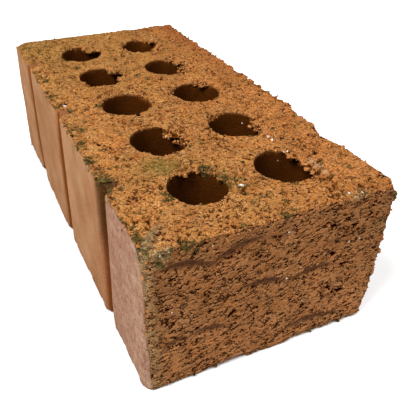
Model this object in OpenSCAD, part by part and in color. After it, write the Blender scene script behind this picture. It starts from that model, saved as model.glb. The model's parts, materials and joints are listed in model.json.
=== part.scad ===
// Extruded, wire-cut clay brick with ten through cores and three key grooves.
// Units are millimetres. X runs along the length and Z is up.
// The origin is the centre of the lower bed.
// The grooved smooth stretcher faces -Y; the near header and its dragged lips face +X.

/* [Body] */
// Length of the brick, header to header
body_l = 230; // [190:1:300]
// Width of the brick, stretcher to stretcher
body_w = 113; // [90:1:150]
// Height of the brick, bed to bed
body_h = 76; // [50:1:120]

/* [Cores] */
// Diameter of a through core
core_d = 24; // [16:0.5:28]
// Number of cores along the length
core_columns = 5; // [3:1:5]
// Distance between core centres along the length
core_pitch_x = 40.5; // [32:0.5:42]
// Distance between the two rows of cores
core_pitch_y = 39.8; // [32:0.2:44]
// Least clay between an outer core and its header
end_wall = 14; // [8:1:20]
// Shift of the core pattern towards the +X header
core_shift_x = 3.5; // [-5:0.5:5]
// Shift of the core pattern towards the rough stretcher
core_shift_y = -1; // [-2:0.1:2]

/* [Torn rims] */
// Radius of the hollow that the cutting wire tore into the rim of a core mouth
tear_r = 7; // [5:0.5:9]
// Depth of such a hollow into the rim
tear_depth = 1.8; // [0.8:0.1:2.6]

/* [Key grooves] */
// Width of a groove between its walls
groove_w = 4.5; // [3:0.5:8]
// Depth of a groove below the smooth stretcher
groove_depth = 7; // [5.5:0.5:8]
// Radius of the soft shoulder on both sides of a groove
shoulder_r = 5.5; // [2:0.5:6]
// Distance between groove centres
groove_pitch = 69.5; // [60:0.5:76]
// Shift of the groove pattern towards the +X header
groove_shift = 1; // [-3:0.5:3]

/* [Edges] */
// Radius of the upright edge between the smooth stretcher and the +X header
arris_near_r = 7; // [1:0.5:9]
// Radius of the upright edge between the smooth stretcher and the -X header
arris_left_r = 4; // [1:0.5:6]
// Radius of the upright edge between the rough stretcher and the +X header
arris_right_r = 2.5; // [1:0.5:8]
// Radius of the upright edge between the rough stretcher and the -X header
arris_far_r = 2.5; // [1:0.5:10]
// Radius of the worn edges of both beds on the rough faces
bed_edge_r = 1.4; // [1:0.2:4]
// Radius of the worn edges of both beds on the smooth stretcher
bed_edge_smooth_r = 1.4; // [1:0.2:4]

/* [Drag marks] */
// Depth of a drag mark below its upper lip
lip_depth = 2; // [0.6:0.1:2.6]
// Length over which a drag mark runs out below its lip
lip_fade = 6; // [3:0.5:8]
// Depth of the broad mark low on the +X header
broad_depth = 2.4; // [0.8:0.1:3]

/* [Pressed faces] */
// Depth of the hollow pressed into the rough stretcher beside the +X header
hollow_depth = 3.6; // [0:0.2:6]
// Length of that hollow
hollow_l = 100; // [60:5:140]
// Depth of the hollow pressed into the top of the -X header
back_hollow_depth = 2.4; // [0:0.2:6]
// Height above the lower bed at which both hollows start
hollow_start = 2; // [0:1:40]

/* [Chips] */
// Radius of the ball-shaped bite of a chipped corner
chip_r = 14; // [8:1:20]
// Depth of a chip into the corner
chip_depth = 2.6; // [1:0.2:4]

/* [Hidden] */
$fn = 96;
hx = body_l / 2;
hy = body_w / 2;
core_r = core_d / 2;
// A short brick draws its cores and grooves closer together.
pitch_x = min(core_pitch_x, (body_l - core_d - 2 * end_wall) / (core_columns - 1));
pitch_groove = min(groove_pitch, body_l * 0.34);
// Each rounding crosses its faces at a small angle, so its arc starts this far outside them.
cross = 0.15;
over = 6;
// Directions of the two tears round each core of the upper bed, from -X to +X, in degrees from +X.
front_tears = [[300, 345], [10, 325], [110, 70], [35, 350], [125, 75]];
back_tears = [[235, 150], [150, 110], [140, 250], [25, 205], [100, 40]];

// Plan of a rounding to take off a corner at the origin that points to +X +Y.
module corner_waste(r) {
  difference() {
    translate([-r, -r]) square([r + over, r + over]);
    translate([cross - r, cross - r]) circle(r = r);
    translate([-2 * r - over, -2 * r - over]) square([2 * r + over + cross, r + over + cross]);
    translate([-2 * r - over, -2 * r - over]) square([r + over + cross, 2 * r + over + cross]);
  }
}

// Plan of one key groove: mouth at the origin, floor towards +Y.
module groove_plan() {
  difference() {
    translate([-groove_w / 2 - shoulder_r, -over]) square([groove_w + 2 * shoulder_r, shoulder_r + over]);
    translate([groove_w / 2 + shoulder_r, shoulder_r - cross]) circle(r = shoulder_r);
    translate([-groove_w / 2 - shoulder_r, shoulder_r - cross]) circle(r = shoulder_r);
  }
  translate([-groove_w / 2, 0]) square([groove_w, groove_depth - groove_w / 2]);
  translate([0, groove_depth - groove_w / 2]) circle(d = groove_w);
}

module body_plan() {
  difference() {
    translate([-hx, -hy]) square([body_l, body_w]);
    translate([hx, hy]) corner_waste(arris_right_r);
    translate([-hx, hy]) mirror([1, 0]) corner_waste(arris_far_r);
    translate([hx, -hy]) mirror([0, 1]) corner_waste(arris_near_r);
    translate([-hx, -hy]) rotate(180) corner_waste(arris_left_r);
    for (i = [-1:1]) {
      translate([groove_shift + i * pitch_groove, -hy]) groove_plan();
    }
  }
}

// Waste along one upper bed edge. The edge runs along Y and its outer side is +X.
module edge_waste(r, length) {
  rotate([90, 0, 0]) linear_extrude(height = length + 2 * over, center = true) corner_waste(r);
}

module upper_edges() {
  translate([hx, 0, body_h]) edge_waste(bed_edge_r, body_w);
  translate([-hx, 0, body_h]) mirror([1, 0, 0]) edge_waste(bed_edge_r, body_w);
  translate([0, hy, body_h]) rotate([0, 0, 90]) edge_waste(bed_edge_r, body_l);
  translate([0, -hy, body_h]) rotate([0, 0, -90]) edge_waste(bed_edge_smooth_r, body_l);
}

module bed_edges() {
  upper_edges();
  translate([0, 0, body_h]) mirror([0, 0, 1]) upper_edges();
}

// A drag mark: a tilted disc bites in under an arched lip and runs out below it.
// (across, up) is the crown of the lip seen from outside, r the radius of its arch.
module lip(across, up, r, slant, depth = lip_depth, fade = lip_fade) {
  tilt = atan(depth / fade);
  translate([0, across, up]) rotate([slant, 0, 0]) translate([-depth, 0, 0]) rotate([0, -tilt, 0])
    translate([0, 0, -r]) rotate([0, 90, 0]) cylinder(r = r, h = 3 * depth + 4);
}

module near_header_marks() {
  lip(-39, 67, 22, -15);
  lip(-21.5, 67.5, 22, 20);
  lip(-4.5, 45.5, 22, -13);
  lip(18.5, 43.6, 24, 3);
  lip(-44, 27.8, 8, 15);
  lip(-28.5, 29, 13, -6);
  lip(22.5, 12.5, 32, 0, broad_depth, 8);
}

module far_header_marks() {
  lip(-30, 60, 20, 8);
  lip(12, 64, 18, -12);
  lip(36, 47, 16, 10);
  lip(-8, 38, 24, -6);
  lip(-34, 22, 14, 14);
  lip(20, 20, 26, -4, broad_depth, 7);
}

module rough_stretcher_marks() {
  lip(-92, 62, 20, -10);
  lip(-58, 66, 24, 12);
  lip(-20, 60, 18, -8);
  lip(22, 65, 26, 6);
  lip(64, 61, 20, -14);
  lip(96, 52, 16, 12);
  lip(-80, 34, 26, 8, broad_depth, 7);
  lip(-38, 41, 16, -12);
  lip(4, 36, 22, 5);
  lip(46, 40, 18, 14);
  lip(78, 26, 22, -6);
  lip(-56, 16, 15, 10);
  lip(-8, 15, 24, -5);
  lip(36, 14, 28, 2, broad_depth, 8);
}

module drag_marks() {
  translate([hx, 0, 0]) near_header_marks();
  translate([-hx, 0, 0]) rotate([0, 0, 180]) far_header_marks();
  translate([0, hy, 0]) rotate([0, 0, 90]) rough_stretcher_marks();
}

// A ball that bites chip_depth deep into the edge or corner at the given point,
// coming from the outward direction (dx, dy, dz).
module chip(x, y, z, dx, dy, dz, r, depth) {
  n = sqrt(dx * dx + dy * dy + dz * dz);
  out = (r - depth) / n;
  translate([x + dx * out, y + dy * out, z + dz * out]) sphere(r = r);
}

module chips() {
  chip(hx * 0.62, hy, body_h, 0, 1, 0.7, chip_r * 1.4, chip_depth + 3);
  chip(hx * 0.38, hy, body_h, 0, 1, 1, chip_r, chip_depth * 0.8);
  chip(-hx * 0.54, hy, body_h, 0, 1, 1, chip_r, chip_depth * 0.7);
  chip(-hx, -hy, body_h, -1, -1, 1, chip_r, chip_depth + 3);
  chip(-hx * 0.88, -hy, 0, 0, -1, -1, chip_r * 1.6, chip_depth);
  chip(hx, hy, body_h, 1, 1, 1, chip_r, chip_depth + 2.6);
  chip(hx, -hy * 0.3, 0, 1, 0, -1, chip_r, chip_depth * 0.6);
  chip(hx, hy * 0.82, 0, 1, 0, -1, chip_r * 0.7, chip_depth * 0.6);
  chip(-hx, hy * 0.2, body_h, -1, 0, 1, chip_r, chip_depth * 0.6);
  chip(-hx * 0.4, hy, 0, 0, 1, -1, chip_r * 1.3, chip_depth * 0.8);
}

// A shallow hollow in a face that looks along +Y and passes through the origin. It is centred
// there, length long, and starts at hollow_start and deepens to depth at the upper bed.
module pressed_hollow(length, depth) {
  rise = body_h - hollow_start;
  bow = length * length / (8 * depth) + depth / 2;
  translate([0, 0, hollow_start]) rotate([atan(depth / rise), 0, 0])
    translate([0, bow, 0]) cylinder(r = bow, h = 2 * rise, $fn = 256);
}

module hollows() {
  translate([hx - hollow_l * 0.2, hy, 0]) pressed_hollow(hollow_l, hollow_depth);
  translate([-hx, -hy * 0.45, 0]) rotate([0, 0, 90]) pressed_hollow(body_w, back_hollow_depth);
}

function core_place(i, side) = [
  core_shift_x + (i - (core_columns - 1) / 2) * pitch_x,
  core_shift_y + side * core_pitch_y / 2
];

module cores() {
  for (i = [0:core_columns - 1], side = [-1, 1]) {
    translate([each core_place(i, side), -1]) cylinder(r = core_r, h = body_h + 2);
  }
}

// A tear in the rim of the core at place: a ball that bites into the rim from the core's side.
module tear(place, angle) {
  out = (tear_r - tear_depth) / sqrt(2);
  translate([each place, body_h + out]) rotate([0, 0, angle]) translate([core_r - out, 0, 0])
    sphere(r = tear_r);
}

module torn_rims() {
  for (i = [0:core_columns - 1]) {
    for (angle = front_tears[i]) tear(core_place(i, -1), angle);
    for (angle = back_tears[i]) tear(core_place(i, 1), angle);
  }
}

module brick() {
  color([0.68, 0.43, 0.24])
    difference() {
      linear_extrude(height = body_h) body_plan();
      cores();
      torn_rims();
      hollows();
      bed_edges();
      drag_marks();
      chips();
    }
}

brick();
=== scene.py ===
"""Dresses the packed clay brick: weathered relief, dragged core rims, loose grains, moss and fired clay.

Lengths are in millimetres inside this script and become metres when a mesh is made.
X runs along the brick, the smooth grooved stretcher faces -Y and Z is up.
"""

import json
import math

import bmesh
import bpy
import numpy as np
from mathutils import Matrix, Vector


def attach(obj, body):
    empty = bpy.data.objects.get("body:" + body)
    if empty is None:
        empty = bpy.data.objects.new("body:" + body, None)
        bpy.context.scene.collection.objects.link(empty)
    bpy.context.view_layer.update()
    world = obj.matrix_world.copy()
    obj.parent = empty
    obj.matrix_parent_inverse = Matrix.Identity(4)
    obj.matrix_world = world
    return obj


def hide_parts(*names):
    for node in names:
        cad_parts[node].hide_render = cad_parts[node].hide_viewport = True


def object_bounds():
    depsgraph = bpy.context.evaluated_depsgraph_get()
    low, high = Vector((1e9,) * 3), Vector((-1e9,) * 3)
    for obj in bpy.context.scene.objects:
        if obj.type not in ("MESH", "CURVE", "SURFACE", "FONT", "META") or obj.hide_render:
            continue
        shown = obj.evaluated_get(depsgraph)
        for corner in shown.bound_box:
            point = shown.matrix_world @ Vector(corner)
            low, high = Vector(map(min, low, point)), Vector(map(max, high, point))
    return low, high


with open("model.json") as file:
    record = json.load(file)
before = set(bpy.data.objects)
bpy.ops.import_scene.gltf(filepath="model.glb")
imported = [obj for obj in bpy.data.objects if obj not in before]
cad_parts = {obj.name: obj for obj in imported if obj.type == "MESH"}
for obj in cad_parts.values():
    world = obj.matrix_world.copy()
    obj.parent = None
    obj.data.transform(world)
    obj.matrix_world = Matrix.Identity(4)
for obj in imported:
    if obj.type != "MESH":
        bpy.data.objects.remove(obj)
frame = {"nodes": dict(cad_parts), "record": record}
cad_low, cad_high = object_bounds()

MM = 0.001
LOW = np.array(cad_low) / MM
HIGH = np.array(cad_high) / MM
HALF_LENGTH = (HIGH[0] - LOW[0]) / 2
HALF_WIDTH = (HIGH[1] - LOW[1]) / 2
HEIGHT = HIGH[2] - LOW[2]

# The weathered mesh: size of its voxels, how far it stays inside the CAD box, and its triangles.
VOXEL = 0.62
BOX_MARGIN = 0.02
TRIANGLES = 198000

# The key grooves of the smooth stretcher.
GROOVE_DEPTH = 7.0
GROOVE_MIDDLE_X = 1.0
GROOVE_PITCH = 69.5
NEAR_GROOVE_X = GROOVE_MIDDLE_X + GROOVE_PITCH

# The tears of the dragged faces: their rise along +Y, and how far below a tear its lit lip lies.
TEAR_SLANT = 0.2
LIP_DROP = 0.55

# The near vertical arris: its radius in the CAD, and the crisp one that it has towards the top.
SOFT_ARRIS_R = 7.0
CRISP_ARRIS_R = 3.2

# Ends of the line that the cutting wire dragged beside the near cores: x and y on the upper bed.
DRAG_RIDGE = ((76.5, 31.2), (95.0, 31.0))

# Place in x and y and radius of each core.
CORES = {
    mount["name"]: (mount["pos_m"][0] / MM, mount["pos_m"][1] / MM, mount["dims"]["r_mm"])
    for mount in frame["record"]["mounts"]
    if mount["kind"] == "bore"
}

# Clay that the cutting wire dragged over the core mouths of the upper bed:
# core -> (from angle, to angle, reach), in degrees from +X and millimetres. Each starts FLAP_ROOT
# inside the wall of its core.
FLAPS = {
    "core_back_1": ((15, 85, 3.2), (112, 130, 3.0)),
    "core_back_2": ((20, 85, 4.0), (100, 145, 3.5)),
    "core_back_3": ((120, 160, 1.5),),
    "core_back_4": ((35, 115, 3.8),),
    "core_back_5": ((35, 150, 5.2),),
    "core_front_1": ((95, 165, 6.2),),
    "core_front_2": ((30, 75, 2.6), (90, 150, 5.0)),
    "core_front_4": ((46, 70, 4.5), (72, 150, 5.6)),
    "core_front_5": ((150, 200, 1.6), (95, 125, 1.4)),
}
FLAP_ROOT = 1.5

# Clumps of moss on the upper bed and its edges: x, y and reach in millimetres.
MOSS_CLUMPS = (
    (22, -52, 4.0), (36, -53, 2.2), (50, -53, 3.8), (60, -54, 2.4), (69, -55, 3.0), (74, -49, 2.0),
    (-7, -53, 2.8), (1, -50, 2.0), (-55, -30, 2.2), (0, -35, 1.8), (87, -35, 3.4), (92, -5, 1.8),
    (105, -54, 2.4), (112, -41, 1.8), (-30, -2, 1.8), (-20, -53, 2.0), (75, -13, 3.2),
    (83, -9, 2.0),
)

# Clumps of moss and pale crust on the near header: y, z and reach in millimetres.
HEADER_MOSS = (
    (-50, 70.5, 2.2), (-40, 74, 2.4), (48, 57, 2.4), (53, 70, 1.8), (36, 75, 1.8), (0, 75, 1.6),
)
HEADER_CRUST = ((-51, 74.5, 5.0), (-54.5, 64, 2.0), (49, 55, 2.4), (32, 75, 1.8))

# Worn places along the arrises: x, y, z, the three reaches and the depth, in millimetres.
WORN_PLACES = (
    (95, -56.5, 0, 24, 4, 7, 0.9), (-72, -56.5, 4, 14, 4, 10, 1.2), (115, -38, 0, 4, 24, 5, 0.8),
    (115, 56.5, 60, 4, 4, 12, 1.3), (-115, -56.5, 70, 4, 4, 14, 1.2), (66, 56.5, 76, 10, 4, 4, 1.0),
)

# Pale chips in the clay: x, y, z and size in millimetres.
PALE_CHIPS = (
    (112.5, 34.5, 76, 0.8), (111.0, 30.0, 76, 0.7), (114.5, 35.5, 74, 0.6), (88.6, 9.4, 76, 0.6),
    (-6.5, -50, 76, 0.9), (60.2, 26.9, 76, 0.7), (64.7, 26.6, 76, 0.9), (76.4, 26.5, 76, 0.6),
    (91, -5.4, 76, 1.1), (37.1, 28.7, 70.5, 0.7), (73.8, 24.2, 69.5, 0.6), (115, 2, 67, 0.6),
    (115, -30, 72, 0.6),
)

# How many loose grains of each kind stand on the surface.
CRUMB_COUNT = 6000
FLAKE_COUNT = 5000
QUARTZ_COUNT = 90
TUFT_COUNT = 1600
CRUST_COUNT = 520


def smoothstep(low, high, value):
    t = np.clip((value - low) / (high - low), 0, 1)
    return t * t * (3 - 2 * t)


class Noise:
    """A smooth random field between 0 and 1, the same on every run."""

    side = 32

    def __init__(self, seed):
        rng = np.random.default_rng(seed)
        self.values = rng.random((self.side,) * 3, dtype=np.float32)
        self.turn = np.linalg.qr(rng.normal(size=(3, 3)))[0].astype(np.float32)
        self.shift = rng.random(3).astype(np.float32) * self.side

    def __call__(self, points, size):
        q = (points / np.asarray(size, dtype=np.float32)) @ self.turn + self.shift
        cell = np.floor(q).astype(np.int32)
        f = q - cell
        f = f * f * (3 - 2 * f)
        a = cell % self.side
        b = (a + 1) % self.side
        v = self.values
        x00 = v[a[:, 0], a[:, 1], a[:, 2]] * (1 - f[:, 0]) + v[b[:, 0], a[:, 1], a[:, 2]] * f[:, 0]
        x10 = v[a[:, 0], b[:, 1], a[:, 2]] * (1 - f[:, 0]) + v[b[:, 0], b[:, 1], a[:, 2]] * f[:, 0]
        x01 = v[a[:, 0], a[:, 1], b[:, 2]] * (1 - f[:, 0]) + v[b[:, 0], a[:, 1], b[:, 2]] * f[:, 0]
        x11 = v[a[:, 0], b[:, 1], b[:, 2]] * (1 - f[:, 0]) + v[b[:, 0], b[:, 1], b[:, 2]] * f[:, 0]
        y0 = x00 * (1 - f[:, 1]) + x10 * f[:, 1]
        y1 = x01 * (1 - f[:, 1]) + x11 * f[:, 1]
        return y0 * (1 - f[:, 2]) + y1 * f[:, 2]


def layered(points, size, octaves, seed, gain=0.55):
    """Several noises of halving size, stretched back to about 0 to 1."""
    total, weight, step = 0, 0, 1
    size = np.asarray(size, dtype=np.float32)
    for k in range(octaves):
        total = total + step * Noise(seed + 101 * k)(points, size / 2**k)
        weight += step
        step *= gain
    return np.clip((total / weight - 0.5) * 1.6 + 0.5, 0, 1)


def cover(field, share, edge=0.05):
    """1 where the field is among its highest values, so that it covers this share of the points."""
    level = np.quantile(field[:: max(1, len(field) // 50000)], 1 - share)
    return smoothstep(level - edge, level + edge, field)


def add_flap(bm, rng, name, start, end, reach, z_edge, inward):
    """A ragged shelf of clay in a core mouth, with inward -1 at the upper bed and +1 at the lower."""
    x, y, r = CORES[name]
    steps = max(6, int((end - start) / 6))
    rings = []
    for i in range(steps + 1):
        t = i / steps
        angle = math.radians(start + (end - start) * t)
        tongue = reach * math.sin(math.pi * min(max(t, 0.02), 0.98)) ** 0.5 * rng.uniform(0.75, 1.15)
        thick = rng.uniform(2.0, 3.6)
        outline = (
            (r + FLAP_ROOT, 0.5),
            (r - tongue, 0.7),
            (r - tongue * 0.9, thick * 0.6),
            (r + FLAP_ROOT, thick + 1),
        )
        ring = []
        for radius, depth in outline:
            place = (x + radius * math.cos(angle), y + radius * math.sin(angle), z_edge + inward * depth)
            ring.append(bm.verts.new(Vector(place) * MM))
        rings.append(ring)
    for a, b in zip(rings, rings[1:]):
        for k in range(4):
            bm.faces.new((a[k], a[(k + 1) % 4], b[(k + 1) % 4], b[k]))
    bm.faces.new(rings[0])
    bm.faces.new(rings[-1][::-1])
    for _ in range(int(2 + (end - start) * reach / 60)):
        t = rng.uniform(0.08, 0.92)
        angle = math.radians(start + (end - start) * t)
        radius = r - reach * math.sin(math.pi * t) ** 0.5 * rng.uniform(0.6, 1.1)
        size = rng.uniform(0.8, 1.7)
        z = z_edge + inward * (size + 0.4)
        centre = Vector((x + radius * math.cos(angle), y + radius * math.sin(angle), z))
        stretch = Matrix.Diagonal((rng.uniform(0.8, 1.4), rng.uniform(0.8, 1.4), rng.uniform(0.7, 1.1), 1))
        placed = Matrix.Translation(centre * MM) @ stretch
        bmesh.ops.create_icosphere(bm, subdivisions=1, radius=size * MM, matrix=placed)


def add_object(name, data):
    """A new object of the scene that shows this data."""
    thing = bpy.data.objects.new(name, data)
    bpy.context.scene.collection.objects.link(thing)
    return thing


def raw_clay():
    """The CAD node's shape with the dragged rims added, as one closed mesh of even small faces."""
    rng = np.random.default_rng(11)
    bm = bmesh.new()
    bm.from_mesh(frame["nodes"]["brick"].data)
    for name, flaps in FLAPS.items():
        for start, end, reach in flaps:
            add_flap(bm, rng, name, start, end, reach, HEIGHT, -1)
    for name in CORES:
        for _ in range(2):
            start = rng.uniform(150, 330)
            add_flap(bm, rng, name, start, start + rng.uniform(40, 90), rng.uniform(1.5, 4.5), 0, 1)
    mesh = bpy.data.meshes.new("raw_clay")
    bm.to_mesh(mesh)
    bm.free()
    holder = add_object("raw_clay", mesh)
    remesh = holder.modifiers.new("even", "REMESH")
    remesh.mode = "VOXEL"
    remesh.voxel_size = VOXEL * MM
    graph = bpy.context.evaluated_depsgraph_get()
    even = bpy.data.meshes.new_from_object(holder.evaluated_get(graph))
    bpy.data.objects.remove(holder)
    return even


def read_mesh(mesh):
    """Points in millimetres and their normals."""
    points = np.empty(len(mesh.vertices) * 3, dtype=np.float32)
    mesh.vertices.foreach_get("co", points)
    normals = np.empty(len(mesh.vertices) * 3, dtype=np.float32)
    mesh.vertex_normals.foreach_get("vector", normals)
    return points.reshape(-1, 3) / MM, normals.reshape(-1, 3)


def write_points(mesh, points):
    mesh.vertices.foreach_set("co", (points * MM).astype(np.float32).ravel())
    mesh.update()


def in_box(points):
    """The points, held a little inside the CAD box."""
    return np.clip(points, LOW + BOX_MARGIN, HIGH - BOX_MARGIN)


def crisp_arris(mesh):
    """Draws the near vertical arris out from the CAD's soft radius to the crisp one of the fired brick."""
    p, _ = read_mesh(mesh)
    middle = np.array([HALF_LENGTH - SOFT_ARRIS_R, SOFT_ARRIS_R - HALF_WIDTH])
    across = np.stack([p[:, 0] - middle[0], middle[1] - p[:, 1]], axis=1)
    rho = np.maximum(np.hypot(*across.T), 1e-6)
    low = across.min(axis=1) / rho
    high = across.max(axis=1) / rho
    step = SOFT_ARRIS_R - CRISP_ARRIS_R
    flat = SOFT_ARRIS_R / np.maximum(high, 1e-6)
    along = step * (low + high)
    curved = along + np.sqrt(np.maximum(along**2 - 2 * step**2 + CRISP_ARRIS_R**2, 0))
    reach = np.where(flat * low > step, curved, flat)
    crisp = smoothstep(-5, 50, p[:, 2])
    scale = np.where(low > 0, 1 + crisp * (reach / SOFT_ARRIS_R - 1), 1)
    p[:, 0] = middle[0] + across[:, 0] * scale
    p[:, 1] = middle[1] - across[:, 1] * scale
    write_points(mesh, p)


def skin_end(p):
    """How far round the near arris each point is past the end of the die skin, in millimetres."""
    round_corner = (HALF_LENGTH - p[:, 0]) - (p[:, 1] + HALF_WIDTH)
    ragged = 1.2 * (layered(p, 5, 2, 14) - 0.5)
    below = HEIGHT - p[:, 2]
    return 1.5 + 2.5 * smoothstep(12, 0, below) - 3.4 * below / 61 + ragged - round_corner


def zones(p, n):
    """How far each point belongs to each kind of face, from 0 to 1, and its distances to some edges."""
    x, y, z = p.T
    from_bed = np.minimum(z, HEIGHT - z)
    core = np.zeros(len(p), dtype=np.float32)
    rim = np.full(len(p), 99, dtype=np.float32)
    for cx, cy, r in CORES.values():
        rho = np.hypot(x - cx, y - cy)
        core = np.maximum(core, smoothstep(r + 0.9, r + 0.3, rho))
        rim = np.minimum(rim, np.abs(rho - r))
    mouth = smoothstep(1.5, 0.7, from_bed)
    bed = smoothstep(0.25, 0.6, np.abs(n[:, 2])) * smoothstep(6, 3, from_bed)
    bed = np.maximum(bed, core * mouth)
    core = core * (1 - mouth)
    inset = y + HALF_WIDTH
    past = skin_end(p)
    skin = smoothstep(GROOVE_DEPTH + 2.5, GROOVE_DEPTH + 1.2, inset)
    skin = skin * smoothstep(0.5, -0.5, past) * smoothstep(3.0, 4.5, HALF_LENGTH + x) * (1 - bed)
    # groove: how deep a skin point lies in a key groove; the material paints the groove shade by it
    groove = skin * smoothstep(0.1, 1.8, inset) * smoothstep(1.0, 3.5, HEIGHT - z)
    groove = groove * smoothstep(8, 12, HALF_LENGTH - np.abs(x))
    rough = np.clip(1 - bed - skin - core, 0, 1)
    inner = smoothstep(3, 6, edge_distance(p)) * rough
    near = smoothstep(4, 2.5, HALF_LENGTH - x)
    sunk = (HALF_LENGTH - x) * near
    dent = inner * near * smoothstep(0.05, 0.5, sunk)
    # under: the band just below the lips and the faces that look down, where the material paints shade
    under = inner * np.maximum(near * smoothstep(0.7, 1.6, sunk), smoothstep(0.2, 0.6, -n[:, 2]))
    return {
        "bed": bed,
        "skin": skin,
        "groove": groove,
        "core": core,
        "rough": rough,
        "rim": rim,
        "dent": dent,
        "under": under,
        "sunk": inner * np.clip(sunk, 0, 3),
        "ridge": ridges(p),
        "past": past,
    }


def drag_line(p):
    """Distance to the line that the cutting wire dragged beside the near cores, on the upper bed."""
    a, b = (np.array(end, dtype=np.float32) for end in DRAG_RIDGE)
    wave = 0.4 * np.sin(p[:, 0] * 0.9)
    t = np.clip(((p[:, :2] - a) @ (b - a)) / np.sum((b - a) ** 2), 0, 1)
    gap = p[:, :2] - a - t[:, None] * (b - a)
    return np.hypot(gap[:, 0], gap[:, 1] + wave) + 3 * (HEIGHT - p[:, 2] > 4)


def ridges(p):
    """Where dragged clay stands proud behind the flaps of the core mouths, from 0 to 1."""
    ridge = np.zeros(len(p), dtype=np.float32)
    for name, flaps in FLAPS.items():
        x, y, r = CORES[name]
        rho = np.hypot(p[:, 0] - x, p[:, 1] - y)
        angle = np.degrees(np.arctan2(p[:, 1] - y, p[:, 0] - x)) % 360
        for start, end, reach in flaps:
            along = smoothstep(start - 12, start + 8, angle) * smoothstep(end + 12, end - 8, angle)
            across = np.exp(-(((rho - r - 0.4 * reach) / (1.2 + 0.4 * reach)) ** 2))
            ridge = np.maximum(ridge, along * across)
    return ridge * smoothstep(HEIGHT - 5, HEIGHT - 2, p[:, 2])


def edge_distance(p):
    """Distance to the nearest edge of the box, along the face that the point is on."""
    x, y, z = p.T
    gaps = np.stack([HALF_LENGTH - np.abs(x), HALF_WIDTH - np.abs(y), np.minimum(z, HEIGHT - z)])
    return np.sort(gaps, axis=0)[1]


def weather(p, zone):
    """How deep each point sinks below the CAD surface, and how much of that is an open pit."""
    open_clay = np.clip(zone["bed"] + zone["rough"], 0, 1)
    swell = layered(p, 24, 2, 1)
    lumps = layered(p, 4.6, 3, 2)
    grain = layered(p, 1.6, 2, 3)
    chunk = np.abs(layered(p, 6.5, 3, 13, gain=0.7) - 0.5) * 2
    crease = smoothstep(0.16, 0.02, chunk) * smoothstep(0.3, 0.6, layered(p, 11, 2, 15))
    pits = cover(layered(p, 1.9, 2, 4, gain=0.7), 0.05)
    slanted = p.copy()
    slanted[:, 2] -= TEAR_SLANT * p[:, 1]
    torn = layered(slanted, (3.2, 3.2, 1.6), 2, 5, gain=0.6)
    tears = cover(torn, 0.07, 0.03) * smoothstep(0.2, 0.55, layered(p, 18, 2, 9))
    holes = np.clip(pits * zone["bed"] + tears * zone["rough"], 0, 1) * (1 - 0.9 * zone["dent"])
    flat = 1 - 0.6 * zone["dent"]
    rough_depth = 0.25 * (1 - swell) + 0.4 * (1 - lumps) + 0.2 * (1 - grain)
    bed_depth = 0.35 * (1 - swell) + 0.5 * (1 - lumps) + 0.3 * (1 - grain)
    depth = flat * (zone["rough"] * rough_depth + zone["bed"] * bed_depth) + 1.1 * holes
    depth += open_clay * crease * (0.9 - 0.8 * zone["dent"]) * (0.45 + 0.55 * zone["bed"])
    line = drag_line(p)
    depth *= 1 - smoothstep(2.2, 1.2, line) * (0.5 + 0.5 * cover(grain, 0.6, 0.2))
    behind = p[:, 1] > DRAG_RIDGE[0][1]
    depth += 1.1 * behind * np.exp(-(((line - 3.2) / 0.8) ** 2)) * zone["bed"]
    depth += 1.4 * spot(p, 81, 36, HEIGHT, 6, 2.2, 4) * (1 - lumps)
    depth += 0.7 * zone["dent"] * smoothstep(0.5, 1.3, zone["sunk"])
    clods = cover(layered(p, 3.0, 2, 10), 0.4, 0.12)
    depth *= 1 - zone["ridge"] * (0.3 + 0.7 * clods)
    depth += 1.3 * zone["ridge"] * (1 - clods)
    streak = layered(p, (3.0, 3.0, 45.0), 2, 6)
    depth += zone["skin"] * (0.35 * (1 - swell) + 0.06 * (1 - streak))
    depth += zone["core"] * (0.1 * (1 - streak) + 0.25 * (1 - lumps))
    edge = edge_distance(p)
    crumble = layered(p, 4.2, 3, 7, gain=0.7)
    bite = cover(crumble, 0.35, 0.05)
    low = smoothstep(8, 3, p[:, 2]) * smoothstep(20, -20, p[:, 1])
    wear = smoothstep(4.0, 0.0, edge) * (0.25 + 0.75 * open_clay) * (1 + 0.5 * low)
    gouge = cover(layered(p, 9, 2, 12), 0.15, 0.1) * open_clay
    depth *= 1 - 0.45 * wear
    torn_edge = smoothstep(HALF_WIDTH - 6, HALF_WIDTH - 1.5, p[:, 1]) * smoothstep(5.0, 1.0, edge)
    torn_edge *= (0.35 + 0.65 * smoothstep(-50, 70, p[:, 0])) * (0.4 + 0.6 * smoothstep(20, 50, p[:, 2]))
    depth += 2.0 * torn_edge * cover(layered(p, 3.6, 2, 16, gain=0.8), 0.5, 0.03)
    for *place, deep in WORN_PLACES:
        depth += deep * spot(p, *place)
    depth += wear * (0.3 * (1 - crumble) + 1.1 * bite + 1.1 * gouge)
    rim_wear = smoothstep(2.2, 0.2, zone["rim"]) * zone["bed"]
    depth += rim_wear * 0.35 * cover(layered(p, 3.2, 2, 8), 0.35, 0.1)
    creased = crease * open_clay * (0.3 + 0.4 * zone["bed"]) * (1 - 0.9 * zone["dent"])
    return depth, np.clip(holes + creased, 0, 1)


def spot(p, x, y, z, reach_x, reach_y, reach_z):
    """1 at a place and fading to 0 over the three reaches."""
    centre = np.array([x, y, z], dtype=np.float32)
    reach = np.array([reach_x, reach_y, reach_z], dtype=np.float32)
    gap = (p - centre) / reach
    return np.exp(-np.sum(gap * gap, axis=1))


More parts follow.
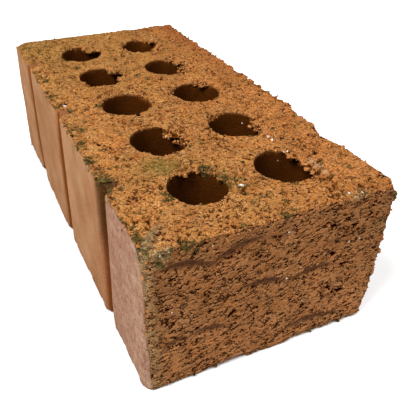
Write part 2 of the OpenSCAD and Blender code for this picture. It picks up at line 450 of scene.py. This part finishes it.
def growth(p, zone):
    """Where moss, dampness with painted groove shade, lichen, the worn arris, smears, pale drag with a
    painted highlight and burnt clay show, from 0 to 1.
    """
    x, y, z = p.T
    patchy = layered(p, 7, 4, 21, gain=0.75)
    fine = layered(p, 2.4, 3, 22, gain=0.7)
    front = y + HALF_WIDTH
    top = HEIGHT - z
    near = HALF_LENGTH - x
    broken = cover(fine, 0.6, 0.1)
    clump = np.zeros(len(p), dtype=np.float32)
    for cx, cy, reach in MOSS_CLUMPS:
        clump = np.maximum(clump, spot(p, cx, cy, HEIGHT - 1, reach, reach, 3.5))
    for cy, cz, reach in HEADER_MOSS:
        clump = np.maximum(clump, spot(p, HALF_LENGTH - 1, cy, cz, 3, reach, reach))
    moss = smoothstep(0.25, 0.55, clump) * broken
    top_front = smoothstep(6, 0, front) * smoothstep(5, 1, top)
    moss = np.maximum(moss, top_front * smoothstep(-90, 10, x) * cover(patchy, 0.22, 0.05) * broken)
    in_groove = smoothstep(GROOVE_DEPTH + 3, GROOVE_DEPTH, front)
    groove_top = np.exp(-(((x - NEAR_GROOVE_X + 1) / 5.5) ** 4)) * in_groove
    moss = np.maximum(moss, groove_top * smoothstep(50, 10, top) * cover(fine, 0.25, 0.1))
    # Dampness and painted groove shade near the top of the near groove.
    damp_and_shade = groove_top * smoothstep(44, 20, top + 10 * (patchy - 0.5))
    damp_and_shade = damp_and_shade * (1 - zone["bed"] * smoothstep(1.5, 0, top))
    near_top = smoothstep(8, 1, near) * smoothstep(-10, -50, y) * smoothstep(8, 2, top)
    moss = np.maximum(moss, near_top * cover(fine, 0.08, 0.05))
    speck = cover(layered(p, 2.0, 2, 23, gain=0.7), 0.03, 0.015)
    bias = np.clip(smoothstep(24, 4, front) + smoothstep(40, 8, near), 0.3, 1)
    moss = np.maximum(moss, zone["bed"] * speck * bias)
    past = zone["past"]
    at_arris = smoothstep(-0.5, 0.5, past) * smoothstep(16, 12, near)
    arris = at_arris * smoothstep(7, 4, past)
    lichen = np.zeros(len(p), dtype=np.float32)
    for cy, cz, reach in HEADER_CRUST:
        crust = spot(p, HALF_LENGTH - 0.5, cy, cz, 3.5, reach, reach)
        lichen = np.maximum(lichen, crust * cover(fine, 0.62, 0.1))
    edge = at_arris * smoothstep(3.2, 1.2, past)
    lichen = np.maximum(lichen, edge * cover(fine, 0.45, 0.1) * smoothstep(38, 58, z))
    lichen = np.maximum(lichen, edge * cover(patchy, 0.18, 0.05) * smoothstep(5, 30, z))
    smear = spot(p, 66, -28.5, HEIGHT, 7.5, 8.5, 8) + 0.7 * spot(p, 84, -8, HEIGHT, 8, 3.5, 8)
    smear = (smear + 0.45 * spot(p, -104, -45, HEIGHT, 22, 16, 8)) * zone["bed"]
    red = 1.3 * spot(p, -98, HALF_WIDTH - 2, HEIGHT - 4, 30, 10, 12)
    red = red + 0.8 * spot(p, -48, HALF_WIDTH, HEIGHT - 2, 40, 7, 8)
    # Pale clay with a painted highlight along the top of the drag ridge.
    pale = smoothstep(2.0, 1.0, drag_line(p)) * smoothstep(82, 88, x) * zone["bed"] * cover(fine, 0.75, 0.1)
    grown = {"moss": moss, "damp_and_shade": damp_and_shade, "lichen": lichen, "arris": arris, "smear": smear, "pale": pale}
    grown["burnt"] = np.clip(red, 0, 1)
    return grown


def carve(mesh):
    """Moves the points to the weathered surface and stores what the material needs."""
    p, n = read_mesh(mesh)
    zone = zones(p, n)
    depth, holes = weather(p, zone)
    grown = growth(p, zone)
    write_points(mesh, in_box(p - n * depth[:, None].astype(np.float32)))
    stored = {key: zone[key] for key in ("bed", "skin", "groove", "core")}
    stored.update(grown)
    stored["pit"] = holes
    stored["under"] = zone["under"]
    for name, values in stored.items():
        attribute = mesh.attributes.new(name, "FLOAT", "POINT")
        attribute.data.foreach_set("value", values.astype(np.float32))


def thinned(mesh, name):
    """The same surface with fewer triangles where it is smooth."""
    holder = add_object("thinning", mesh)
    decimate = holder.modifiers.new("thin", "DECIMATE")
    decimate.ratio = TRIANGLES / (2 * len(mesh.polygons))
    graph = bpy.context.evaluated_depsgraph_get()
    thin = bpy.data.meshes.new_from_object(holder.evaluated_get(graph))
    bpy.data.objects.remove(holder)
    p, _ = read_mesh(thin)
    write_points(thin, in_box(p))
    thin.name = name
    thin.materials.clear()
    thin.shade_smooth()
    return thin


class Nodes:
    """Short calls that build one material's node tree."""

    def __init__(self, name):
        self.material = bpy.data.materials.new(name)
        self.material.use_nodes = True
        self.tree = self.material.node_tree
        self.tree.nodes.clear()
        self.shader = self.add("ShaderNodeBsdfPrincipled")
        output = self.add("ShaderNodeOutputMaterial")
        self.tree.links.new(self.shader.outputs[0], output.inputs["Surface"])

    def add(self, kind, inputs=None, **settings):
        node = self.tree.nodes.new(kind)
        for key, value in settings.items():
            setattr(node, key, value)
        for key, value in (inputs or {}).items():
            self.put(node.inputs[key], value)
        return node

    def put(self, socket, value):
        if isinstance(value, bpy.types.NodeSocket):
            self.tree.links.new(value, socket)
        else:
            socket.default_value = value

    def attribute(self, name):
        return self.add("ShaderNodeAttribute", attribute_name=name).outputs["Fac"]

    def place(self, stretch=(1, 1, 1), turn=0.0, lift=0.0):
        """Object coordinates in millimetres: raised, turned about X and squeezed along each axis."""
        coords = self.add("ShaderNodeTexCoord").outputs["Object"]
        if lift:
            raised = {0: coords, 1: (0, 0, lift * MM)}
            coords = self.add("ShaderNodeVectorMath", raised, operation="ADD").outputs[0]
        if turn:
            turned = {"Vector": coords, "Angle": turn}
            coords = self.add("ShaderNodeVectorRotate", turned, rotation_type="X_AXIS").outputs[0]
        squeezed = {0: coords, 1: tuple(1 / (MM * s) for s in stretch)}
        return self.add("ShaderNodeVectorMath", squeezed, operation="MULTIPLY").outputs[0]

    def noise(self, size, detail=3, rough=0.6, stretch=(1, 1, 1), turn=0.0, lift=0.0):
        coords = self.place(stretch, turn, lift)
        values = {"Vector": coords, "Scale": 1 / size, "Detail": detail, "Roughness": rough}
        return self.add("ShaderNodeTexNoise", values).outputs["Fac"]

    def cells(self, size, output="Distance"):
        return self.add("ShaderNodeTexVoronoi", {"Vector": self.place(), "Scale": 1 / size}).outputs[output]

    def creases(self, size, half_width, share, stretch=(1, 1, 1), turn=0.0, lift=0.0):
        """Short thin crevices along the contours of a noise, from 0 to 1, and the noise itself."""
        field = self.noise(size, 3, 0.6, stretch, turn, lift)
        off = self.math("ABSOLUTE", self.minus(field, 0.5))
        stops = self.noise(size * 1.7, 2, 0.5, stretch, turn, lift)
        level = 0.62 - 0.24 * share
        line = self.span(off, half_width, 0.6 * half_width)
        return self.times(line, self.span(stops, level, level + 0.03)), field

    def span(self, value, low, high, to_low=0.0, to_high=1.0):
        values = {"Value": value, "From Min": low, "From Max": high, "To Min": to_low, "To Max": to_high}
        return self.add("ShaderNodeMapRange", values).outputs["Result"]

    def math(self, operation, a, b=0.0):
        return self.add("ShaderNodeMath", {0: a, 1: b}, operation=operation).outputs[0]

    def times(self, a, b):
        return self.math("MULTIPLY", a, b)

    def plus(self, a, b):
        return self.math("ADD", a, b)

    def minus(self, a, b):
        return self.math("SUBTRACT", a, b)

    def most(self, a, b):
        return self.math("MAXIMUM", a, b)

    def mix_value(self, factor, a, b):
        return self.plus(a, self.times(factor, self.minus(b, a)))

    def grey(self, value):
        return self.add("ShaderNodeCombineColor", {0: value, 1: value, 2: value}).outputs[0]

    def mix(self, factor, a, b, blend="MIX"):
        node = self.add("ShaderNodeMix", data_type="RGBA", blend_type=blend)
        self.put(node.inputs[0], factor)
        for index, value in ((6, a), (7, b)):
            self.put(node.inputs[index], value if isinstance(value, bpy.types.NodeSocket) else (*value, 1))
        return node.outputs[2]


# Clay and growth colours, linear; among them painted shade and painted highlight colours.
BED_LIGHT = (0.60, 0.272, 0.082)
BED_MIDDLE = (0.510, 0.212, 0.055)
BED_DARK = (0.15, 0.045, 0.009)
BED_PALE = (0.66, 0.37, 0.19)
BED_RED = (0.40, 0.125, 0.032)
BED_OLIVE = (0.45, 0.240, 0.060)
BED_RUST = (0.53, 0.188, 0.050)
ROUGH_LIGHT = (0.485, 0.214, 0.084)
ROUGH_DARK = (0.36, 0.138, 0.042)
SKIN_LIGHT = (0.298, 0.158, 0.079)
SKIN_DARK = (0.226, 0.105, 0.044)
SKIN_PINK = (0.240, 0.130, 0.088)
SKIN_MAUVE = (0.190, 0.085, 0.050)
SKIN_WHITE = (0.39, 0.28, 0.20)
SKIN_RED = (0.22, 0.080, 0.034)
SKIN_PALE = (0.40, 0.225, 0.135)
SKIN_SPECK = (0.13, 0.050, 0.022)
# Painted shade inside the key grooves, on their shoulders and on the core walls.
GROOVE_SHADE = (0.13, 0.036, 0.009)
GROOVE_SHOULDER_SHADE = (0.19, 0.066, 0.020)
CORE_SHADE = (0.066, 0.018, 0.0022)
# A painted highlight on the lit lip below each tear, and painted shade below the lips, in the tears and
# pits and in a fringe round them.
LIT_LIP = (0.56, 0.26, 0.095)
LIP_SHADE = (0.105, 0.045, 0.027)
PIT_SHADE = (0.030, 0.0040, 0.0004)
PIT_SHADE_FRINGE = (0.22, 0.056, 0.008)
# Pale clay with a painted highlight on the drag ridge, dampness with painted groove shade, and painted
# shade in the pits of the bed.
RIDGE_PALE_AND_HIGHLIGHT = (0.54, 0.35, 0.18)
DAMP_AND_SHADE = (0.024, 0.010, 0.002)
BED_PIT_SHADE = (0.065, 0.016, 0.003)
BURNT = (0.40, 0.120, 0.036)
ARRIS = (0.34, 0.21, 0.095)
MOSS_DARK = (0.013, 0.0075, 0.0015)
MOSS_PALE = (0.105, 0.068, 0.022)
LICHEN = (0.30, 0.200, 0.095)
LICHEN_PALE = (0.46, 0.36, 0.20)
SMEAR = (0.23, 0.160, 0.034)

# Dark and light colours of the loose grains, linear.
CRUMB_COLOURS = ((0.23, 0.078, 0.019), (0.44, 0.196, 0.066))
FLAKE_COLOURS = ((0.20, 0.072, 0.020), (0.44, 0.190, 0.070))
QUARTZ_COLOURS = ((0.40, 0.35, 0.28), (0.72, 0.68, 0.60))
TUFT_COLOURS = ((0.012, 0.0075, 0.0015), (0.13, 0.090, 0.026))
CRUST_COLOURS = ((0.14, 0.095, 0.045), (0.40, 0.30, 0.15))

# Crevices: size, half width, share of the surface and stretch along each axis.
LONG_TEARS = (1.7, 0.042, 0.29, (2.0, 2.0, 1))
SHORT_TEARS = (0.88, 0.066, 0.46, (1.9, 1.9, 1))
WIDE_CRACKS = (2.0, 0.038, 0.28, (1, 1.6, 1))
FINE_CRACKS = (0.78, 0.058, 0.34, (1, 1.3, 1))

# Dull fired clay and grains: roughness, specular levels, and depth of the bump in millimetres.
CLAY_ROUGHNESS = 0.9
CLAY_SPECULAR = 0.01
GRAIN_SPECULAR = 0.03
BUMP_DEPTH = 2.2


def bed_colours(m, grain, tone, along, across):
    """Granular cut clay: orange, redder towards the rough stretcher, olive towards the far end."""
    patch = m.span(m.noise(3.2, 3, 0.6), 0.35, 0.65)
    base = m.mix(patch, BED_MIDDLE, BED_LIGHT)
    base = m.mix(m.span(m.noise(11, 3, 0.6), 0.50, 0.66, 0, 0.6), base, BED_RED)
    base = m.mix(m.span(along, 10, -80, 0, 0.5), base, BED_OLIVE)
    base = m.mix(m.span(across, -5, 45, 0, 0.6), base, BED_RUST)
    base = m.mix(m.span(grain, 0.48, 0.30, 0, 0.6), base, BED_DARK)
    pale = m.times(m.span(tone, 0.72, 0.80), m.span(m.cells(0.95), 0.48, 0.30))
    return m.mix(m.times(pale, 0.7), base, BED_PALE)


def rough_colours(m, medium, grain, across, above):
    """Dragged clay of the rough faces, darker towards the top and the smooth stretcher."""
    mottled = m.plus(m.times(medium, 0.45), m.times(grain, 0.55))
    tone = m.span(mottled, 0.36, 0.64)
    gradient = m.times(m.span(above, 8, HEIGHT, 1.13, 0.82), m.span(across, -50, 50, 0.95, 1.05))
    return m.mix(1.0, m.mix(tone, ROUGH_DARK, ROUGH_LIGHT), m.grey(gradient), "MULTIPLY")


def skin_colours(m, grain, groove, along):
    """Smooth die skin: tan and speckled, with a red stain beside the near groove and painted shade in and
    beside the grooves, pink and whitish at the near end.
    """
    cloudy = m.span(m.noise(6, 3, 0.5, stretch=(3, 1, 3)), 0.35, 0.68)
    colour = m.mix(cloudy, SKIN_DARK, SKIN_LIGHT)
    near = m.span(along, 68, 80)
    drawn = m.span(m.noise(1.5, 3, 0.6, stretch=(1, 1, 5)), 0.50, 0.62, 0, 0.8)
    pink = m.mix(drawn, SKIN_PINK, SKIN_MAUVE)
    cloud = m.plus(m.noise(5, 5, 0.75), m.span(along, 88, 112, 0, 0.12))
    pink = m.mix(m.span(cloud, 0.52, 0.68, 0, 0.45), pink, SKIN_WHITE)
    colour = m.mix(m.times(near, 0.9), colour, pink)
    beside = m.times(m.span(along, 46, 66), m.span(along, 76, 71))
    stain = m.times(beside, m.span(m.noise(7, 3, 0.6, stretch=(1, 1, 3)), 0.35, 0.6))
    colour = m.mix(m.times(stain, 0.7), colour, SKIN_RED)
    speck = m.span(m.noise(1.3, 3, 0.7, stretch=(1, 1, 1.8)), 0.54, 0.64, 0, 0.6)
    colour = m.mix(m.times(speck, m.span(near, 0, 1, 0.35, 1.0)), colour, SKIN_SPECK)
    pale = m.times(m.span(grain, 0.45, 0.33, 0, 0.7), m.span(near, 0, 1, 0.4, 1.0))
    colour = m.mix(pale, colour, SKIN_PALE)
    # Painted shade on the groove shoulders, weaker at the near groove.
    from_groove = m.math("PINGPONG", m.minus(along, GROOVE_MIDDLE_X), GROOVE_PITCH / 2)
    shoulder_shade = m.times(m.span(from_groove, 7.5, 3.5, 0, 0.65), m.span(along, 50, 62, 1.0, 0.15))
    colour = m.mix(shoulder_shade, colour, GROOVE_SHOULDER_SHADE)
    # Painted shade inside the grooves, stronger at the far grooves than at the near one.
    deep = m.times(groove, m.span(along, 50, 62, 1.6, 1.0))
    return m.mix(m.span(deep, 0, 1), colour, GROOVE_SHADE)


def drift(m):
    """Slow changes of brightness and hue across the open clay, as a colour to multiply by."""
    broad = m.span(m.noise(17, 2, 0.5), 0.35, 0.65, 0.88, 1.12)
    light = m.times(broad, m.span(m.noise(6, 2), 0.3, 0.7, 0.93, 1.07))
    hue = m.noise(9, 3, 0.6, lift=50)
    green = m.times(light, m.span(hue, 0.35, 0.65, 0.93, 1.05))
    blue = m.times(light, m.span(hue, 0.35, 0.65, 0.85, 1.10))
    return m.add("ShaderNodeCombineColor", {0: light, 1: green, 2: blue}).outputs[0]


def torn_marks(m):
    """Tears of the dragged faces, their lit lips as a mask for a painted highlight, cracks of the beds, and
    the steps between all these.
    """
    slant = -math.atan(TEAR_SLANT)
    long_tears, flakes = m.creases(*LONG_TEARS, slant)
    short_tears, scales = m.creases(*SHORT_TEARS, slant)
    tears = m.most(long_tears, short_tears)
    long_lips, _ = m.creases(*LONG_TEARS, slant, LIP_DROP)
    short_lips, _ = m.creases(*SHORT_TEARS, slant, LIP_DROP)
    lips = m.minus(m.most(long_lips, short_lips), tears)
    calm = m.span(m.noise(22, 2, 0.5), 0.42, 0.58, 0.6, 1.0)
    wide, clods = m.creases(*WIDE_CRACKS)
    fine, grit = m.creases(*FINE_CRACKS)
    wide = m.times(wide, calm)
    fine = m.times(fine, calm)
    cracks = m.most(wide, m.times(fine, 0.9))
    rough_steps = m.plus(m.span(flakes, 0.44, 0.56), m.span(scales, 0.44, 0.56, 0, 0.5))
    bed_steps = m.plus(m.span(clods, 0.44, 0.56), m.span(grit, 0.44, 0.56, 0, 0.5))
    return tears, lips, cracks, rough_steps, bed_steps


def fired_colours(m, bed, skin, core, grain):
    """The clay's colour on every kind of face, with painted shade on the core walls and in and beside the
    grooves and a painted highlight on the drag ridge, before tears and growth.
    """
    along, across, above = m.add("ShaderNodeSeparateXYZ", {0: m.place()}).outputs
    tone = m.add("ShaderNodeSeparateColor", {0: m.cells(0.95, "Color")}).outputs[0]
    rough = rough_colours(m, m.noise(5, 4, 0.65), grain, across, above)
    colour = m.mix(bed, rough, bed_colours(m, grain, tone, along, across))
    colour = m.mix(1.0, colour, drift(m), "MULTIPLY")
    colour = m.mix(m.span(m.attribute("arris"), 0, 1, 0, 0.7), colour, ARRIS)
    colour = m.mix(skin, colour, skin_colours(m, grain, m.attribute("groove"), along))
    # Painted shade on the core walls.
    colour = m.mix(core, colour, CORE_SHADE)
    colour = m.mix(m.span(m.attribute("burnt"), 0, 1, 0, 0.85), colour, BURNT)
    # Pale clay with a painted highlight along the drag ridge.
    return m.mix(m.attribute("pale"), colour, RIDGE_PALE_AND_HIGHLIGHT)


def with_growth(m, colour):
    """The colour with its smears, dampness with painted groove shade, moss and lichen."""
    breakup = m.noise(1.1, 4, 0.75)
    smear = m.times(m.attribute("smear"), m.span(breakup, 0.25, 0.6, 0.45, 1.0))
    colour = m.mix(smear, colour, SMEAR)
    # Dampness and painted shade at the near groove.
    damp_and_shade = m.times(m.attribute("damp_and_shade"), m.span(breakup, 0.25, 0.6, 1.0, 0.6))
    colour = m.mix(damp_and_shade, colour, DAMP_AND_SHADE)
    moss = m.times(m.attribute("moss"), m.span(breakup, 0.40, 0.50))
    moss_colour = m.mix(m.span(m.noise(0.9, 3), 0.4, 0.62), MOSS_DARK, MOSS_PALE)
    colour = m.mix(moss, colour, moss_colour)
    lichen = m.times(m.attribute("lichen"), m.span(breakup, 0.42, 0.50))
    lichen_colour = m.mix(m.span(m.noise(1.2, 3), 0.5, 0.65), LICHEN, LICHEN_PALE)
    return m.mix(lichen, colour, lichen_colour)


def clay_material():
    m = Nodes("fired_clay_weathered")
    bed = m.attribute("bed")
    skin = m.attribute("skin")
    core = m.attribute("core")
    pit = m.attribute("pit")
    under = m.attribute("under")
    grain = m.noise(0.85, 4, 0.7)
    colour = fired_colours(m, bed, skin, core, grain)
    open_clay = m.minus(1.0, m.most(skin, core))
    plain = m.times(open_clay, m.span(under, 0, 1, 1, 0.15))
    tears, lips, cracks, rough_steps, bed_steps = torn_marks(m)
    torn = m.times(plain, m.minus(1.0, bed))
    tears = m.times(tears, torn)
    lips = m.times(lips, torn)
    # Painted highlight on the lit lip below each tear.
    colour = m.mix(m.times(lips, 0.75), colour, LIT_LIP)
    cracks = m.times(cracks, m.times(bed, open_clay))
    # Painted shade in the tears, cracks and pits, with a softer painted fringe round them.
    marks = m.most(m.most(tears, cracks), m.span(pit, 0.25, 0.8, 0, 0.9))
    colour = m.mix(m.span(marks, 0.0, 0.6, 0, 0.5), colour, PIT_SHADE_FRINGE)
    colour = m.mix(m.span(marks, 0.35, 0.8, 0, 1.0), colour, m.mix(bed, PIT_SHADE, BED_PIT_SHADE))
    # Painted shade below the lips and on faces that look down.
    colour = m.mix(m.span(under, 0, 1, 0, 0.8), colour, LIP_SHADE)
    sparkle = m.span(m.noise(0.42, 2, 0.7), 0.35, 0.65, 0.65, 1.33)
    colour = m.mix(m.span(core, 0, 1, 1.0, 0.6), colour, m.mix(1.0, colour, m.grey(sparkle), "MULTIPLY"))
    m.put(m.shader.inputs["Base Color"], with_growth(m, colour))
    m.shader.inputs["Roughness"].default_value = CLAY_ROUGHNESS
    m.shader.inputs["Specular IOR Level"].default_value = CLAY_SPECULAR
    steps = m.times(m.mix_value(bed, rough_steps, bed_steps), m.times(plain, 0.35))
    height = m.plus(m.times(grain, 0.8), steps)
    height = m.minus(height, m.times(m.most(tears, cracks), 0.7))
    height = m.times(height, m.span(skin, 0, 1, 1.0, 0.10))
    height = m.times(height, m.span(core, 0, 1, 1.0, 0.5))
    bump = m.add("ShaderNodeBump", {"Height": height, "Strength": 1.0, "Distance": BUMP_DEPTH * MM})
    m.put(m.shader.inputs["Normal"], bump.outputs[0])
    return m.material


def make_brick():
    mesh = raw_clay()
    crisp_arris(mesh)
    carve(mesh)
    thin = thinned(mesh, "weathered_brick")
    thin.materials.append(clay_material())
    piece = add_object("weathered_brick", thin)
    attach(piece, "root")
    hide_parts("brick")
    return piece


def make_ball():
    """Corner directions and triangles of a unit ball."""
    bm = bmesh.new()
    bmesh.ops.create_icosphere(bm, subdivisions=1, radius=1)
    corners = np.array([v.co for v in bm.verts], dtype=np.float32)
    faces = np.array([[v.index for v in f.verts] for f in bm.faces])
    bm.free()
    return corners, faces


def scatter(name, rng, places, normals, sizes, sink, material, lumpy=0.35):
    """Small knobbly grains, each a closed ball pushed out of round and partly sunk in the clay."""
    corners, faces = make_ball()
    points = []
    for place, normal, size in zip(places, normals, sizes):
        stretch = rng.uniform(0.7, 1.25, 3)
        turn = np.linalg.qr(rng.normal(size=(3, 3)))[0]
        knobs = 1 + lumpy * (rng.random((len(corners), 1)) - 0.5)
        points.append((corners * knobs * stretch) @ turn * size + place - normal * size * sink)
    count = len(points)
    points = in_box(np.concatenate(points))
    offsets = np.arange(count)[:, None, None] * len(corners)
    mesh = bpy.data.meshes.new(name)
    mesh.from_pydata((points * MM).tolist(), [], (faces[None] + offsets).reshape(-1, 3).tolist())
    mesh.shade_flat()
    mesh.materials.append(material)
    piece = add_object(name, mesh)
    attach(piece, "root")


def pick(rng, weight, count):
    """Indices of this many points, or of as many as have weight, drawn by weight."""
    count = min(count, np.count_nonzero(weight))
    return rng.choice(len(weight), size=count, replace=False, p=weight / weight.sum())


def grain_material(name, dark, light):
    m = Nodes(name)
    tone = m.span(m.noise(1.6, 3, 0.7), 0.35, 0.65)
    m.put(m.shader.inputs["Base Color"], m.mix(tone, dark, light))
    m.shader.inputs["Roughness"].default_value = CLAY_ROUGHNESS
    m.shader.inputs["Specular IOR Level"].default_value = GRAIN_SPECULAR
    return m.material


def grain_sizes(rng, count, least, most):
    """Radii in millimetres, most of them small."""
    return np.clip(rng.gamma(3.0, 0.10, count) + least, 0.2, most)


def nearest(p, place):
    """Index of the point that is nearest to a place."""
    return int(np.argmin(np.sum((p - np.array(place)) ** 2, axis=1)))


def make_grains(body):
    """Loose clay crumbs, quartz grains and moss tufts that stand on the weathered surface."""
    rng = np.random.default_rng(31)
    p, n = read_mesh(body.data)
    zone = zones(p, n)
    grown = growth(p, zone)
    top = zone["bed"] * smoothstep(HEIGHT - 4, HEIGHT - 2, p[:, 2])
    rim = smoothstep(6, 1, zone["rim"])
    edge = smoothstep(5, 1, edge_distance(p))
    patches = 0.25 + cover(layered(p, 14, 2, 41), 0.5, 0.15)
    loose = top * (patches + 0.5 * rim + 0.6 * edge + 3 * zone["ridge"]) * (1 - grown["arris"])
    crumbs = pick(rng, loose * (1 - 0.9 * grown["lichen"]) * (1 - 0.6 * grown["moss"]), CRUMB_COUNT)
    sizes = grain_sizes(rng, len(crumbs), 0.12, 0.95)
    clay = grain_material("clay_crumb", *CRUMB_COLOURS)
    scatter("clay_crumbs", rng, p[crumbs], n[crumbs], sizes, 0.55, clay, 0.8)
    flakes = pick(rng, zone["rough"] * (0.4 + 0.6 * edge) * (1 - 0.9 * zone["dent"]), FLAKE_COUNT)
    sizes = grain_sizes(rng, len(flakes), 0.15, 0.9)
    dull = grain_material("clay_flake", *FLAKE_COLOURS)
    scatter("clay_flakes", rng, p[flakes], n[flakes], sizes, 0.6, dull, 0.7)
    quartz = pick(rng, top * 0.5 + zone["rough"], QUARTZ_COUNT)
    white = grain_material("quartz_grain", *QUARTZ_COLOURS)
    chips = [nearest(p, chip[:3]) for chip in PALE_CHIPS]
    sizes = [chip[3] for chip in PALE_CHIPS]
    scatter("pale_chips", rng, p[chips], n[chips], sizes, 0.5, white, 0.8)
    sizes = rng.uniform(0.22, 0.45, len(quartz))
    scatter("quartz_grains", rng, p[quartz], n[quartz], sizes, 0.2, white)
    green = grown["moss"] * (1 - 0.6 * zone["groove"])
    tufts = pick(rng, np.clip(green - 0.3, 0, 1), TUFT_COUNT)
    sizes = rng.uniform(0.25, 0.8, len(tufts))
    moss = grain_material("moss_tuft", *TUFT_COLOURS)
    scatter("moss_tufts", rng, p[tufts], n[tufts], sizes, 0.2, moss, 0.8)
    crust = pick(rng, np.clip(grown["lichen"] - 0.3, 0, 1), CRUST_COUNT)
    sizes = rng.uniform(0.2, 0.45, len(crust))
    pale = grain_material("lichen_crust", *CRUST_COLOURS)
    scatter("lichen_crust", rng, p[crust], n[crust], sizes, 0.4, pale, 0.8)


# The photograph's camera: place and sensor in millimetres, angles in radians, frame in pixels.
CAMERA_PLACE = (227.2, -98.7, 183.6)
CAMERA_AZIMUTH = 1.1503
CAMERA_ELEVATION = 0.6182
CAMERA_ROLL = 0.0107
FRAME_SIDE = 400
FOCAL_PIXELS = 501.9
CENTRE_PIXEL_X = 165
SENSOR = 36.0

# The studio: the floor's half width and drop below the brick in metres, its grey, and the sky's strength.
FLOOR_HALF = 6
FLOOR_DROP = 0.0003
FLOOR_GREY = 0.88
SKY_STRENGTH = 0.36

# Disk lights: name, place and size in metres, power in watts, and the point that each one faces.
LIGHTS = (
    ("key", (0.22, -0.80, 1.10), 0.6, 23, (0, 0, 0.04)),
    ("back", (-0.80, 1.00, 1.30), 1.0, 14, (-0.5, 0.7, 0)),
    ("top", (0.55, 0.10, 1.20), 0.35, 8, (0, 0, 0.04)),
)


def make_camera():
    flat = math.cos(CAMERA_ELEVATION)
    east = -math.sin(CAMERA_AZIMUTH) * flat
    north = math.cos(CAMERA_AZIMUTH) * flat
    forward = Vector((east, north, -math.sin(CAMERA_ELEVATION)))
    level = forward.cross(Vector((0, 0, 1))).normalized()
    upright = level.cross(forward)
    right = level * math.cos(CAMERA_ROLL) + upright * math.sin(CAMERA_ROLL)
    up = upright * math.cos(CAMERA_ROLL) - level * math.sin(CAMERA_ROLL)
    data = bpy.data.cameras.new("photo_camera")
    data.sensor_width = SENSOR
    data.lens = FOCAL_PIXELS / FRAME_SIDE * SENSOR
    data.shift_x = (FRAME_SIDE / 2 - CENTRE_PIXEL_X) / FRAME_SIDE
    data.clip_start = 0.01
    data.clip_end = 20
    camera = add_object("photo_camera", data)
    turn = Matrix((right, up, -forward)).transposed()
    camera.matrix_world = Matrix.Translation(Vector(CAMERA_PLACE) * MM) @ turn.to_4x4()
    bpy.context.scene.camera = camera


def make_floor():
    bm = bmesh.new()
    bmesh.ops.create_grid(bm, x_segments=1, y_segments=1, size=FLOOR_HALF)
    mesh = bpy.data.meshes.new("studio_floor")
    bm.to_mesh(mesh)
    bm.free()
    m = Nodes("pale_floor")
    m.shader.inputs["Base Color"].default_value = (FLOOR_GREY, FLOOR_GREY, FLOOR_GREY, 1)
    m.shader.inputs["Roughness"].default_value = 0.9
    mesh.materials.append(m.material)
    floor = add_object("studio_floor", mesh)
    floor.location.z = -FLOOR_DROP


def add_light(name, place, size, power, target):
    data = bpy.data.lights.new(name, "AREA")
    data.shape = "DISK"
    data.size = size
    data.energy = power
    light = add_object(name, data)
    light.location = place
    light.rotation_euler = (Vector(target) - Vector(place)).to_track_quat("-Z", "Y").to_euler()


def make_light():
    world = bpy.data.worlds.new("studio")
    world.use_nodes = True
    world.node_tree.nodes["Background"].inputs[0].default_value = (1, 1, 1, 1)
    world.node_tree.nodes["Background"].inputs[1].default_value = SKY_STRENGTH
    bpy.context.scene.world = world
    for light in LIGHTS:
        add_light(*light)
    bpy.context.scene.view_settings.view_transform = "Standard"


make_camera()
make_light()
make_floor()
make_grains(make_brick())
